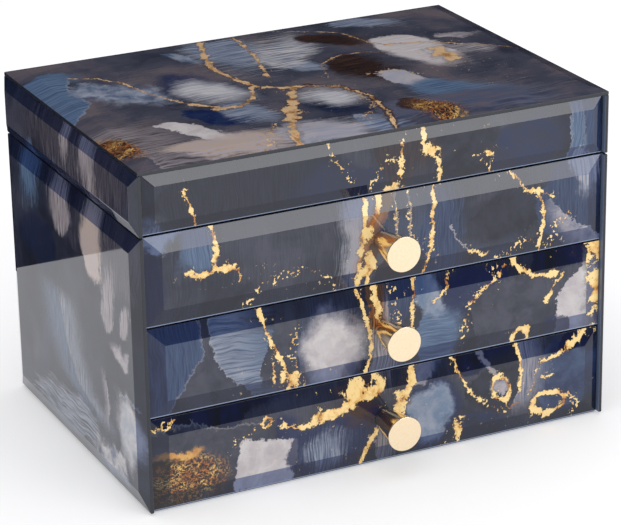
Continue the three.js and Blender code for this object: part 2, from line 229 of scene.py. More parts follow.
class Graph:
    """A node tree, with one short call for each kind of node."""

    def __init__(self, tree):
        tree.nodes.clear()
        self.nodes = tree.nodes
        self.links = tree.links

    def node(self, kind, inputs=None, **settings):
        made = self.nodes.new(kind)
        for name, value in settings.items():
            setattr(made, name, value)
        for name, value in (inputs or {}).items():
            self.feed(made.inputs[name], value)
        return made

    def feed(self, socket, value):
        if isinstance(value, bpy.types.NodeSocket):
            self.links.new(value, socket)
        else:
            socket.default_value = value

    def math(self, operation, *values):
        return self.node("ShaderNodeMath", dict(enumerate(values)), operation=operation).outputs[0]

    def plus(self, first, second):
        return self.math("ADD", first, second)

    def minus(self, first, second):
        return self.math("SUBTRACT", first, second)

    def times(self, first, second):
        return self.math("MULTIPLY", first, second)

    def vector(self, operation, *values):
        made = self.node("ShaderNodeVectorMath", dict(enumerate(values)), operation=operation)
        return made.outputs[1 if operation in ("LENGTH", "DOT_PRODUCT") else 0]

    def scaled(self, vector, factor):
        return self.node("ShaderNodeVectorMath", {0: vector, 3: factor}, operation="SCALE").outputs[0]

    def part(self, vector, axis):
        """One coordinate; a dot product holds on to less of a shader's memory than Separate XYZ."""
        return self.vector("DOT_PRODUCT", vector, [float(axis == i) for i in range(3)])

    def join(self, x, y, z=0):
        return self.node("ShaderNodeCombineXYZ", {0: x, 1: y, 2: z}).outputs[0]

    def mix(self, factor, first, second, blend="MIX"):
        made = self.node("ShaderNodeMix", {0: factor, 6: first, 7: second},
                         data_type="RGBA", blend_type=blend)
        return made.outputs[2]

    def smooth(self, value, low, high):
        """0 below low and 1 above high, or the other way round where low is the larger."""
        made = self.node("ShaderNodeMapRange", {0: value, 1: low, 2: high},
                         interpolation_type="SMOOTHSTEP")
        return made.outputs[0]

    def between(self, value, low, high, to_low, to_high):
        limits = {0: value, 1: low, 2: high, 3: to_low, 4: to_high}
        return self.node("ShaderNodeMapRange", limits).outputs[0]

    def noise(self, vector, scale, detail=2, roughness=0.5, as_vector=False):
        made = self.node("ShaderNodeTexNoise", {"Vector": vector, "Scale": scale, "Detail": detail,
                                                "Roughness": roughness})
        return made.outputs[1 if as_vector else 0]

    def stretched_noise(self, vector, stretch, detail=3):
        return self.noise(self.vector("MULTIPLY", vector, (*stretch, 1)), 1, detail, 0.6)

    def ramp(self, value, *stops):
        made = self.node("ShaderNodeValToRGB", {0: value})
        elements = made.color_ramp.elements
        elements[0].position, elements[0].color = stops[0]
        elements[1].position, elements[1].color = stops[-1]
        for position, colour in stops[1:-1]:
            elements.new(position).color = colour
        return made.outputs[0]

    def curve(self, value, points):
        """A straight-sided line through points, each between 0 and 1 both ways."""
        made = self.node("ShaderNodeFloatCurve", {"Value": value})
        line = made.mapping.curves[0].points
        while len(line) < len(points):
            line.new(0.5, 0.5)
        for knot, place in zip(line, points):
            knot.location = place
            knot.handle_type = "VECTOR"
        made.mapping.update()
        return made.outputs[0]

    def bump(self, height, distance):
        made = self.node("ShaderNodeBump", {"Height": height, "Distance": distance, "Strength": 1})
        return made.outputs[0]

    def millimetres(self):
        coordinates = self.node("ShaderNodeTexCoord")
        return self.scaled(coordinates.outputs["Object"], 1 / MM)

    def surface(self, **sockets):
        """The closing Principled shader; socket names have underscores for spaces."""
        inputs = {name.replace("_", " "): value for name, value in sockets.items()}
        shader = self.node("ShaderNodeBsdfPrincipled", inputs)
        output = self.node("ShaderNodeOutputMaterial")
        self.links.new(shader.outputs[0], output.inputs["Surface"])


def new_material(name):
    material = bpy.data.materials.new(name)
    material.use_nodes = True
    return material, Graph(material.node_tree)


def ink(red, green, blue):
    """A display colour of 0 to 255 as the linear colour that shaders use."""
    def linear(value):
        share = value / 255
        return share / 12.92 if share <= 0.04045 else ((share + 0.055) / 1.055) ** 2.4
    return (linear(red), linear(green), linear(blue), 1)


# ---- the ink print

BLACK = ink(15, 16, 24)
COAL = ink(30, 32, 43)
SLATE = ink(45, 48, 62)
ASH = ink(68, 70, 83)
DUSK = ink(98, 90, 96)
NAVY = ink(18, 30, 72)
INDIGO = ink(35, 47, 80)
STEEL = ink(63, 81, 111)
SKY = ink(100, 121, 147)
PALE = ink(148, 154, 168)
LILAC = ink(172, 164, 168)
WHITE = ink(200, 195, 194)
SAND = ink(184, 162, 144)
BROWN = ink(64, 46, 38)
COPPER = ink(176, 112, 58)
DARK_GOLD = ink(142, 98, 52)
MID_GOLD = ink(228, 180, 102)
BRIGHT_GOLD = ink(248, 216, 150)
BRONZE = ink(172, 132, 88)
PALE_BRONZE = ink(204, 170, 130)
GLASS_EDGE = ink(40, 42, 49)
# Painted glint along the bottom edges of the front panes
PAINTED_GLINT = ink(150, 166, 196)
BACKING = ink(104, 118, 144)
# Painted shade for the ground bevels, which darkens the print and turns it bluer
BEVEL_SHADE_COLOUR = ink(96, 124, 178)


class Print(Graph):
    """A graph's alcohol-ink print, built up in layers over flat places in millimetres.

    A feature that can't reach the pane's rectangle is left out of its graph.
    """

    def __init__(self, graph, place, low, high):
        self.nodes, self.links = graph.nodes, graph.links
        self.low, self.high = low, high
        drift = self.noise(place, 0.04, 2, as_vector=True)
        jag = self.noise(place, 0.3, 4, 0.75, as_vector=True)
        self.place = self.shifted(place, jag, JAG_REACH)
        self.loose_place = self.shifted(self.place, drift, DRIFT_REACH)
        self.patches = self.noise(place, 0.16, 2)
        self.specks = self.noise(place, 1.1, 3, 0.7)
        self.losses = self.between(self.noise(place, 0.6, 2), 0.47, 0.6, 3, 0)
        calm = self.shifted(place, drift, CALM_REACH)
        self.grains = {
            "tall": self.stretched_noise(calm, (1.5, 0.06)),
            "flat": self.stretched_noise(calm, (0.05, 1.1)),
            "cloud": self.noise(self.loose_place, 0.09, 4, 0.65),
        }
        self.gap = None
        self.colour = None
        self.golds = (COPPER, MID_GOLD, BRIGHT_GOLD)

    def shifted(self, place, noise, reach):
        moved = self.vector("MULTIPLY_ADD", noise, (2 * reach, 2 * reach, 0), place)
        return self.vector("SUBTRACT", moved, (reach, reach, 0))

    def reaches(self, points, margin=2):
        return all(max(p[i] for p in points) + margin > self.low[i]
                   and min(p[i] for p in points) - margin < self.high[i] for i in (0, 1))

    def covers(self, centre, size, turn):
        """Whether a turned ellipse reaches the pane."""
        cosine, sine = math.cos(math.radians(turn)), math.sin(math.radians(turn))
        half = Vector((math.hypot(size[0] * cosine, size[1] * sine),
                       math.hypot(size[0] * sine, size[1] * cosine)))
        return self.reaches([Vector(centre) - half, Vector(centre) + half])

    def ground(self, dark, middle, light, grain="tall"):
        clouds = self.noise(self.loose_place, 0.022, 4, 0.6)
        clouds = self.math("MULTIPLY_ADD", self.grains[grain], 0.3, clouds)
        self.colour = self.ramp(clouds, (0.48, dark), (0.63, middle), (0.8, light))

    def local(self, centre, size, turn, loose=True):
        made = self.node("ShaderNodeMapping", {
            "Vector": self.loose_place if loose else self.place,
            "Location": (*centre, 0),
            "Rotation": (0, 0, math.radians(turn)),
            "Scale": (*size, 1),
        }, vector_type="TEXTURE")
        return made.outputs[0]

    def fan_grain(self, local):
        """Fibres that spread from a point just outside the crisp end of a wash."""
        x, y = self.part(local, 0), self.part(local, 1)
        angle = self.math("ARCTAN2", y, self.plus(x, 1.5))
        return self.stretched_noise(self.join(angle, x), (30, 0.9))

    def spread(self, body, fibres, colour, second, share):
        """Lays one ink over the rest, with its fibres between two colours."""
        tone = self.mix(self.smooth(fibres, *NOISE_SPAN), second, colour)
        self.colour = self.mix(self.times(body, share), self.colour, tone)

    def wash(self, centre, size, colour, second, grain="tall", turn=0, fade=0.9, edge=0.06, share=1,
             block=False):
        """A pool of ink, crisp at its local -X end and feathered along the grain towards +X."""
        if not self.covers(centre, size, turn):
            return
        local = self.local(centre, size, turn, loose=not block)
        if block:
            square = self.vector("ABSOLUTE", local)
            far = self.math("MAXIMUM", self.part(square, 0), self.part(square, 1))
            inside = self.minus(1, far)
        else:
            inside = self.minus(1, self.vector("LENGTH", local))
        fibres = self.fan_grain(local) if grain == "fan" else self.grains[grain]
        softness = self.between(self.part(local, 0), -0.7, 0.9, edge, edge + fade)
        depth = self.math("DIVIDE", inside, softness)
        streaks = self.between(fibres, *NOISE_SPAN, -0.35 * fade, 0.35 * fade)
        body = self.smooth(self.plus(depth, streaks), 0, 1)
        self.spread(body, fibres, colour, second, share)

    def offset(self, points):
        """Signed distances in millimetres: across a bent line, and past its ends."""
        spans = [max(p[i] for p in points) - min(p[i] for p in points) for i in (0, 1)]
        along = 0 if spans[0] > spans[1] else 1
        across = 1 - along
        points = sorted(points, key=lambda p: p[along])
        start, end = points[0][along], points[-1][along]
        least = min(p[across] for p in points)
        spread = max(spans[across], 0.1)
        knots = [((p[along] - start) / (end - start), (p[across] - least) / spread) for p in points]
        run_along = self.part(self.place, along)
        run = self.between(run_along, start, end, 0, 1)
        line = self.math("MULTIPLY_ADD", self.curve(run, knots), spread, least)
        aside = self.minus(self.part(self.place, across), line)
        middle, half = (start + end) / 2, (end - start) / 2
        from_middle = self.math("ABSOLUTE", self.minus(run_along, middle))
        return aside, self.minus(from_middle, half)

    def distance(self, points):
        """How far a place is from a bent line, in millimetres, across the way it mostly runs."""
        aside, past = self.offset(points)
        return self.math("MAXIMUM", self.math("ABSOLUTE", aside), past)

    def flood(self, points, reach, colour, second, grain="tall", share=1):
        """Ink with a torn, pale edge along a bent line, that fades out over reach millimetres.

        It lies on the line's low side where reach is negative.
        """
        tall = abs(points[0][1] - points[-1][1]) > abs(points[0][0] - points[-1][0])
        far = (reach, 0) if tall else (0, reach)
        if not self.reaches(points + [(p[0] + far[0], p[1] + far[1]) for p in points]):
            return
        aside, past = self.offset(points)
        depth = self.math("DIVIDE", aside, reach)
        fibres = self.grains[grain]
        ragged = self.plus(depth, self.between(fibres, *NOISE_SPAN, -0.3, 0.3))
        fade = self.smooth(ragged, 1, 0.3)
        ends = self.smooth(past, 6, -5)
        shore = self.smooth(aside, 0, math.copysign(0.5, reach))
        body = self.times(self.times(fade, ends), shore)
        self.spread(body, fibres, colour, second, share)
        surf = self.times(body, self.smooth(aside, math.copysign(1.6, reach), 0))
        self.colour = self.mix(self.times(surf, 0.3 * share), self.colour, WHITE)

    def line(self, points, width, colour, share):
        """A hairline of one colour."""
        if self.reaches(points):
            body = self.smooth(self.distance(points), width, width * 0.4)
            self.colour = self.mix(self.times(body, share), self.colour, colour)

    def add_gap(self, gap):
        self.gap = gap if self.gap is None else self.math("MINIMUM", self.gap, gap)

    def vein(self, width, *points):
        """A vein of gold through points; width is half its usual thickness."""
        if self.reaches(points):
            self.add_gap(self.math("DIVIDE", self.distance(points), width))

    def crumbs(self, width, *points):
        """A vein of which only scattered crumbs are left."""
        if self.reaches(points):
            gap = self.math("DIVIDE", self.distance(points), width)
            self.add_gap(self.plus(gap, self.losses))

    def clump(self, centre, size, turn=0):
        """A ragged patch of gold."""
        if self.covers(centre, size, turn):
            self.add_gap(self.vector("LENGTH", self.local(centre, size, turn, loose=False)))

    def loop(self, centre, size, width, turn=0):
        """A closed vein of gold."""
        if self.covers(centre, size, turn):
            far = self.vector("LENGTH", self.local(centre, size, turn, loose=False))
            off = self.math("ABSOLUTE", self.minus(far, 1))
            self.add_gap(self.times(off, min(size) / width))

    def scales(self, centre, size, turn=0):
        """Brown ink under rays of gold flecks that spread from its local -X end."""
        if not self.covers(centre, size, turn):
            return
        self.wash(centre, size, BROWN, COAL, "fan", turn, fade=0.7, edge=0.15)
        local = self.local(centre, size, turn, loose=False)
        x, y = self.part(local, 0), self.part(local, 1)
        angle = self.math("ARCTAN2", y, self.plus(x, 1.6))
        rays = self.noise(self.vector("MULTIPLY", self.join(angle, x), (34, 16, 1)), 1, 2)
        inside = self.smooth(self.vector("LENGTH", local), 0.95, 0.45)
        flecks = self.times(self.smooth(rays, 0.5, 0.58), inside)
        fleck = self.mix(self.smooth(self.patches, 0.45, 0.6), COPPER, MID_GOLD)
        self.colour = self.mix(flecks, self.colour, fleck)

    def darken(self, share, tint):
        dark = self.mix(1, self.colour, tint, "MULTIPLY")
        self.colour = self.mix(share, self.colour, dark)

    def gild(self):
        """Lays the gold of all veins and clumps over the inks, with dark edges and splatter."""
        if self.gap is None:
            return
        dark, middle, bright = self.golds
        thick = self.between(self.patches, 0.38, 0.64, *VEIN_SWELL)
        thick = self.plus(thick, self.between(self.specks, *NOISE_SPAN, -0.3, 0.3))
        room = self.minus(thick, self.gap)
        halo = self.times(self.smooth(room, -1.2, 0.1), 0.4)
        self.colour = self.mix(halo, self.colour, BROWN)
        tone = self.math("MULTIPLY_ADD", self.specks, 0.4, self.patches)
        gold = self.ramp(tone, (0.56, dark), (0.64, middle), (0.76, bright))
        self.colour = self.mix(self.smooth(room, 0, 0.1), self.colour, gold)
        cells = self.node("ShaderNodeTexVoronoi", {"Vector": self.place, "Scale": 0.5})
        drop_size = self.between(self.patches, 0.45, 0.62, 0, 0.2)
        near = self.smooth(self.gap, 7, 2)
        drop = self.smooth(self.minus(drop_size, cells.outputs["Distance"]), 0, 0.05)
        self.colour = self.mix(self.times(drop, near), self.colour, bright)


def paint_lid_and_drawers(art):
    """The front picture, in X and Z, which runs over the lid strip and the three drawers."""
    art.ground(COAL, SLATE, ASH)
    paint_lid_front(art)
    paint_top_drawer(art)
    paint_middle_drawer(art)
    paint_bottom_drawer(art)


def paint_lid_front(art):
    art.wash((-112, 134), (16, 10), PALE, STEEL, turn=-30, share=0.8)
    art.wash((-62, 144), (54, 20), COAL, SLATE, fade=0.6, share=0.9)
    art.wash((-26, 140), (26, 14), INDIGO, SLATE, turn=180, share=0.8)
    art.wash((14, 150), (18, 20), BROWN, COAL, share=0.7)
    art.wash((48, 149), (24, 16), COAL, SLATE, "cloud", fade=0.7)
    art.wash((80, 146), (24, 16), INDIGO, SLATE, "cloud", share=0.9)
    art.flood([(97, 162), (98, 146), (97, 139), (96, 132)], 22, SKY, STEEL, share=0.9)
    art.flood([(103, 162), (105, 147), (106, 132)], 12, NAVY, STEEL, share=0.8)
    art.vein(0.9, (-97, 151), (-93, 142), (-90, 134))
    art.crumbs(1.3, (-27, 160), (-21, 151), (-14, 140))
    art.vein(0.9, (10, 156), (10, 149), (9, 140))
    art.clump((6, 136), (5.5, 2.2), 20)
    art.clump((0, 133), (3, 2.2), 30)
    art.crumbs(2, (-4, 139), (0, 147), (8, 150))
    art.vein(0.9, (22, 161), (21, 154), (25, 149), (29, 144), (30, 134))
    art.clump((25, 150), (3.6, 2.8))
    art.clump((21, 135), (3.2, 1.3))
    art.clump((55, 144), (1.9, 2.4), 20)
    art.crumbs(1.2, (48, 144), (53, 140), (61, 134))


def paint_top_drawer(art):
    art.wash((-112, 112), (7, 24), INDIGO, NAVY, fade=0.6, share=0.8)
    art.wash((-104, 129), (19, 6), PALE, SKY, "cloud", -10)
    art.wash((-92, 119), (11, 9), STEEL, SKY, turn=-160, fade=0.7, share=0.9)
    art.wash((-76, 100), (13, 7), COAL, SLATE, "cloud", 30)
    art.wash((-12, 112), (14, 27), PALE, LILAC, turn=180, edge=0.1, share=0.9)
    art.wash((-5, 116), (7, 24), COPPER, DARK_GOLD, turn=160, share=0.85)
    art.wash((4, 100), (15, 14), BROWN, SLATE, "cloud", -30, share=0.8)
    art.wash((14, 116), (14, 20), STEEL, ASH, turn=90, share=0.8)
    art.wash((33, 108), (15, 26), STEEL, INDIGO, share=0.8)
    art.wash((60, 112), (26, 17), COAL, SLATE, "cloud", 180, fade=0.7, edge=0.2)
    art.wash((61, 99), (18, 6), STEEL, SLATE, "cloud", edge=0.6, share=0.7)
    art.wash((101, 112), (18, 22), INDIGO, STEEL, fade=0.7, share=0.8)
    art.wash((106, 127), (13, 7), LILAC, SKY, turn=-90, fade=0.8)
    art.flood([(88, 116), (96, 107), (104, 101), (112, 96), (119, 93)], -16, LILAC, STEEL, "cloud")
    art.vein(1.1, (-85, 133), (-82, 123), (-83, 117), (-84, 112))
    art.vein(1.2, (-96, 113), (-90, 111), (-84, 112), (-78, 113), (-72, 111))
    art.clump((-76, 112), (4.4, 1.7), -8)
    art.vein(0.7, (-72, 111), (-71, 105))
    art.crumbs(1.9, (-66, 94), (-63, 100), (-56, 103))
    art.crumbs(1.5, (-56, 103), (-45, 105), (-33, 103), (-19, 91))
    art.vein(1.1, (-8, 133), (-9, 118), (-12, 104), (-12, 92))
    art.vein(1.6, (0, 131), (-3, 124), (-8, 116))
    art.clump((-7, 102), (3, 10), -8)
    art.line([(7, 132), (7, 113)], 0.9, SAND, 0.8)
    art.line([(14, 131), (14, 111)], 0.8, SAND, 0.8)
    art.crumbs(1.3, (7, 132), (7, 113))
    art.crumbs(1.2, (13, 131), (15, 112), (22, 100))
    art.vein(1, (28, 133), (26, 125), (25, 104), (21, 93), (17, 90))
    art.line([(35, 112), (38, 105), (45, 98)], 0.8, LILAC, 0.7)
    art.vein(0.6, (45, 98), (50, 97), (55, 96))
    art.vein(0.7, (54, 96), (55, 91))
    art.crumbs(1.5, (58, 92), (67, 96), (82, 100))
    art.vein(0.8, (64, 132), (70, 128), (75, 122), (82, 121), (89, 117))
    art.vein(0.8, (81, 122), (84, 112), (84, 104), (82, 97), (84, 90))
    art.crumbs(2.4, (88, 94), (91, 103), (98, 107))
    art.clump((103, 92), (6, 2.2))
    art.clump((115, 91), (5, 2.6))


def paint_middle_drawer(art):
    art.wash((-83, 58), (18, 9), ASH, SLATE, "cloud", fade=0.3)
    art.wash((-62, 70), (16, 14), SKY, STEEL, "flat", 180, fade=0.7, share=0.8)
    art.flood([(-87, 90), (-87, 78), (-83, 66), (-76, 57), (-66, 52)], 34, PALE, STEEL, "flat", share=0.9)
    art.flood([(-91, 90), (-90, 77), (-89, 73), (-95, 66), (-100, 58), (-108, 48)], -60, STEEL, INDIGO)
    art.wash((-51, 72), (9, 20), SLATE, ASH, "cloud", -20, fade=0.3)
    art.wash((-26, 64), (25, 26), STEEL, NAVY, fade=0.4, edge=0.3, share=0.8)
    art.wash((-25, 65), (21, 21), WHITE, LILAC, "cloud", fade=0.1, edge=0.5)
    art.wash((2, 62), (10, 26), LILAC, ASH, share=0.9)
    art.wash((-3, 80), (6, 14), COPPER, BROWN, share=0.9)
    art.wash((10, 80), (7, 10), INDIGO, STEEL, share=0.9)
    art.wash((42, 78), (24, 11), NAVY, INDIGO, "cloud", 180, fade=0.8, share=0.9)
    art.wash((30, 62), (15, 17), STEEL, SKY, "flat", fade=0.6)
    art.wash((25, 79), (13, 9), PALE, SKY, "cloud", -40, share=0.9)
    art.wash((67, 65), (22, 18), ASH, SLATE, "cloud", fade=0.2)
    art.wash((97, 84), (22, 5), NAVY, BLACK, "cloud", 4, fade=0.6, share=0.9)
    art.flood([(92, 48), (91, 58), (92, 67), (99, 75), (106, 80)], 40, WHITE, LILAC, "cloud")
    art.wash((92, 52), (8, 4), INDIGO, NAVY, "cloud", 180, fade=0.8, share=0.8)
    art.vein(1.1, (-63, 90), (-59, 78), (-53, 65), (-48, 54), (-43, 48))
    art.clump((-47, 53), (5.5, 4.4), -35)
    art.vein(0.8, (-56, 62), (-55, 53))
    art.crumbs(2, (-45, 75), (-46, 62), (-43, 55))
    art.clump((-44, 45), (4.5, 3.2))
    art.vein(0.9, (-14, 89), (-9, 75), (-6, 63), (-8, 51))
    art.vein(1.5, (-4, 90), (-3, 76), (0, 62))
    art.crumbs(2, (6, 86), (8, 70), (7, 60))
    art.vein(0.9, (17, 90), (15, 78), (15, 66))
    art.vein(0.9, (26, 76), (30, 79), (34, 84))
    art.vein(1.1, (67, 88), (73, 82), (80, 79), (91, 78))
    art.crumbs(2.2, (44, 66), (45, 72), (52, 77), (58, 81), (67, 86))
    art.vein(0.6, (45, 72), (52, 77), (58, 81))
    art.crumbs(1.6, (45, 70), (43, 63), (42, 54))
    art.vein(0.8, (95, 77), (90, 72), (86, 65))
    art.clump((114, 84), (6, 3.4))
    art.clump((113, 65), (4, 11))
    art.loop((73, 51), (4, 3.2), 0.9, 20)
    art.vein(0.7, (56, 48), (63, 48), (68, 47))
    art.crumbs(2, (19, 50), (25, 49), (31, 46))


def paint_bottom_drawer(art):
    art.wash((-76, 42), (40, 7), NAVY, BLACK, "cloud", fade=0.6)
    art.flood([(-118, 36), (-108, 40), (-96, 40), (-85, 37), (-62, 35)], -30, SLATE, ASH, "cloud")
    art.scales((-98, 15), (24, 15))
    art.wash((-100, 28), (15, 2.4), MID_GOLD, COPPER, "cloud", 6, fade=0.6, edge=0.5)
    art.wash((-48, 24), (8, 12), INDIGO, NAVY, "cloud", share=0.9)
    art.wash((-60, 14), (15.5, 11.5), LILAC, WHITE, "cloud", -10, fade=0.05, edge=0.05, block=True)
    art.wash((-27, 15), (24, 15), INDIGO, NAVY, fade=0.4, share=0.9)
    art.wash((-28, 14), (15, 11), PALE, STEEL, fade=0.5, edge=0.5, share=0.9)
    art.wash((-10, 26), (13, 9), BROWN, NAVY, "cloud")
    art.wash((2, 14), (9, 12), LILAC, SLATE, share=0.7)
    art.wash((25, 21), (17, 18), INDIGO, NAVY, "cloud", fade=0.4)
    art.wash((24, 21), (13, 15.5), PALE, SKY, "cloud", fade=0.1, edge=0.25, share=0.9)
    art.wash((22, 42), (10, 5), LILAC, STEEL, "cloud", share=0.9)
    art.wash((54, 42), (17, 6), BLACK, NAVY, "cloud", fade=0.5)
    art.wash((58, 26), (17, 11), SLATE, COAL, "cloud", fade=0.4)
    art.wash((54, 10), (20, 7), COAL, INDIGO, "cloud", fade=0.7, share=0.8)
    art.wash((102, 24), (20, 20), INDIGO, STEEL, "cloud", fade=0.6, share=0.9)
    art.flood([(70, 46), (72, 38), (73, 30), (71, 22), (68, 15)], 18, LILAC, STEEL, share=0.9)
    art.wash((104, 41), (12, 4), NAVY, BLACK, "cloud", 18, fade=0.5)
    art.wash((61, 26), (4, 6), LILAC, STEEL, "cloud", 70, fade=0.5)
    art.line([(50, 43), (55, 38), (60, 32)], 1.8, LILAC, 0.7)
    art.vein(0.4, (-118, 37), (-108, 40), (-104, 42))
    art.vein(1.1, (-115, 12), (-117, 6), (-110, 4))
    art.loop((-60, 34), (2.2, 2.4), 0.8)
    art.crumbs(1.5, (-74, 26), (-67, 30), (-62, 34))
    art.vein(0.9, (-52, 31), (-43, 28), (-34, 28), (-30, 29))
    art.vein(3, (-34, 31), (-24, 31), (-16, 35), (-3, 38))
    art.clump((-15, 36), (10, 4.4), 28)
    art.vein(1.3, (-4, 18), (-8, 12), (-12, 5))
    art.vein(1.8, (17, 45), (13, 36), (9, 27), (5, 16))
    art.clump((8, 28), (3, 9), -14)
    art.vein(0.8, (34, 45), (39, 39), (44, 29), (50, 22))
    art.crumbs(1.8, (50, 22), (56, 18), (64, 14))
    art.loop((62, 25), (4.4, 6.4), 0.8, 20)
    art.vein(0.7, (64, 18), (67, 14), (71, 16))
    art.vein(0.6, (70, 46), (72, 38), (73, 30), (72, 22))
    art.loop((88, 13), (9, 5), 0.9)
    art.crumbs(2.6, (100, 14), (104, 9), (101, 5))
    art.vein(0.8, (118, 46), (105, 41), (95, 37), (84, 34))
    art.crumbs(1.6, (84, 34), (81, 28), (79, 20))
    art.vein(0.6, (84, 27), (90, 26))
    art.clump((39, 10), (2.2, 4))


def paint_top(art):
    """The lid's top, in X and Y: petals round a gold stem."""
    art.ground(SLATE, ASH, DUSK, "flat")
    art.wash((-112, 48), (12, 22), STEEL, SKY, "flat", -70, fade=0.8)
    art.flood([(-97, 50), (-104, 34), (-102, 10), (-117, -13)], -28, STEEL, SKY, "flat")
    art.wash((-82, 14), (34, 18), PALE, STEEL, "cloud", -50, fade=1, edge=0.2)
    art.flood([(-119, -30), (-112, -45), (-112, -66), (-104, -84)], 44, LILAC, BROWN, "flat", share=0.6)
    art.scales((-114, -50), (26, 8), -75)
    art.wash((-47, 4), (32, 20), INDIGO, NAVY, "flat", -65, edge=0.3, share=0.8)
    art.wash((-46, -1), (29, 17), WHITE, PALE, "flat", -68, fade=0.4, edge=0.6)
    art.wash((-58, -38), (24, 9), INDIGO, NAVY, "cloud", -55, fade=0.6)
    art.wash((-73, -51), (25, 7), WHITE, LILAC, "cloud", -55, fade=0.4)
    art.wash((-62, -72), (40, 14), LILAC, SAND, "flat", -8, edge=0.2, share=0.9)
    art.wash((-37, 52), (16, 6), PALE, STEEL, "cloud", -70, edge=0.2)
    art.wash((-14, 44), (38, 24), PALE, STEEL, "flat", -85, fade=1, edge=0.3)
    art.wash((-42, -42), (26, 14), PALE, STEEL, "flat", -65, edge=0.3)
    art.wash((8, 14), (16, 9), PALE, STEEL, "flat", -60)
    art.wash((12, 44), (34, 18), WHITE, STEEL, "flat", 60, fade=1, edge=0.2)
    art.wash((0, -46), (26, 24), INDIGO, BLACK, "flat", -60, edge=0.3)
    art.wash((-1, -34), (22, 17), WHITE, PALE, "flat", -50, fade=0.4, edge=0.6)
    art.wash((-20, -74), (30, 13), LILAC, PALE, "flat", -8, edge=0.2, share=0.9)
    art.wash((4, -74), (16, 7), PALE, STEEL, "flat", -50)
    art.wash((34, -4), (28, 20), BLACK, BROWN, "flat", -60, edge=0.2)
    art.wash((44, 44), (26, 14), BROWN, BLACK, "flat", -40, fade=1, edge=0.2)
    art.wash((70, 8), (32, 19), LILAC, WHITE, "flat", -75, fade=0.6, edge=0.1)
    art.wash((43, -28), (17, 7), PALE, LILAC, "cloud", -75, fade=0.3)
    art.wash((94, 2), (16, 7), LILAC, ASH, "flat", -45)
    art.wash((100, 22), (14, 5), LILAC, ASH, "flat", -20)
    art.wash((70, 62), (24, 10), PALE, STEEL, "flat", -25, fade=1, edge=0.2)
    art.wash((64, -58), (38, 18), SKY, STEEL, "flat", -40, fade=1, edge=0.2)
    art.wash((56, -66), (60, 18), DUSK, STEEL, "flat", edge=0.2)
    art.scales((34, -70), (20, 12), -60)
    art.line([(-3, -13), (9, -22), (15, -40), (12, -64), (6, -84)], 3, BROWN, 0.8)
    art.vein(0.5, (-97, 50), (-86, 44), (-78, 32), (-73, 9), (-64, -11), (-57, -19))
    art.vein(1.4, (-64, -12), (-56, -20), (-50, -26))
    art.vein(1.4, (-18, 84), (-22, 66), (-28, 48), (-32, 31), (-29, 12), (-25, -4))
    art.vein(0.8, (-1, 84), (-3, 60), (-6, 37), (-14, 7))
    art.vein(1.6, (-28, -4), (-33, -18), (-44, -27), (-56, -26))
    art.vein(1.5, (-22, -6), (-14, -12), (-3, -14), (9, -22))
    art.vein(2, (-11, -14), (-23, -38), (-33, -58), (-42, -82))
    art.clump((-28, -48), (3.5, 15), -25)
    art.crumbs(3, (-42, -60), (-52, -74), (-58, -82))
    art.vein(0.7, (9, -22), (15, -40), (12, -64), (6, -84))
    art.crumbs(2.4, (11, -34), (12, -52), (0, -68))
    art.vein(0.5, (53, 16), (42, 21), (30, 22), (17, 13), (11, -6))
    art.vein(0.5, (14, 76), (33, 66), (48, 55), (53, 35), (60, 24))
    art.vein(0.6, (58, 27), (76, 22), (96, 7), (112, -8))
    art.clump((76, -1), (4.5, 11))
    art.crumbs(1.8, (30, -12), (42, -10), (50, -20))
    art.golds = (DARK_GOLD, BRONZE, PALE_BRONZE)


def paint_left(art):
    """The left side, in Y and Z: pale strokes that fall towards the front."""
    art.ground(COAL, SLATE, ASH)
    art.wash((0, 150), (84, 22), DUSK, SLATE, edge=0.3, share=0.8)
    art.wash((-40, 114), (50, 22), DUSK, SLATE, edge=0.3, share=0.7)
    art.wash((50, 122), (20, 18), SKY, STEEL, turn=-90, fade=1, edge=0.2)
    art.wash((44, 94), (30, 15), BLACK, INDIGO, fade=0.6, share=0.7)
    art.wash((0, 154), (16, 7), LILAC, DUSK, turn=-90, fade=1, edge=0.25)
    art.wash((-28, 150), (20, 12), LILAC, DUSK, turn=-90, fade=1, edge=0.25)
    art.wash((10, 122), (20, 15), LILAC, DUSK, turn=80, fade=1, edge=0.2)
    art.wash((-31, 122), (26, 16), LILAC, SAND, turn=100, fade=1, edge=0.15)
    art.wash((-46, 97), (18, 11), LILAC, DUSK, turn=105, edge=0.15)
    art.wash((-68, 90), (11, 6), LILAC, DUSK, turn=120, edge=0.2)
    art.wash((-58, 73), (12, 6), LILAC, ASH, "cloud", 20, fade=0.7, edge=0.2)
    art.wash((34, 52), (9, 34), INDIGO, ASH, turn=20, share=0.7)
    bend = [(16, 74), (8, 52), (-6, 36), (-28, 29)]
    art.flood(bend, 34, SKY, ASH)
    art.flood(bend, -30, PALE, ASH)
    art.wash((-64, 38), (22, 16), WHITE, PALE, "cloud", 75, fade=0.3, edge=0.4)
    art.flood([(-40, 52), (-44, 40), (-42, 30)], 8, LILAC, ASH, share=0.9)
    art.wash((20, 15), (50, 12), PALE, ASH, "flat", -6, edge=0.2)
    art.wash((-38, 12), (28, 10), WHITE, STEEL, "cloud", -8, edge=0.2)
    art.line([(-78, 128), (-79, 96), (-80, 58)], 1, LILAC, 0.5)
    art.line([(-56, 50), (-66, 53), (-76, 50)], 0.8, PALE, 0.6)


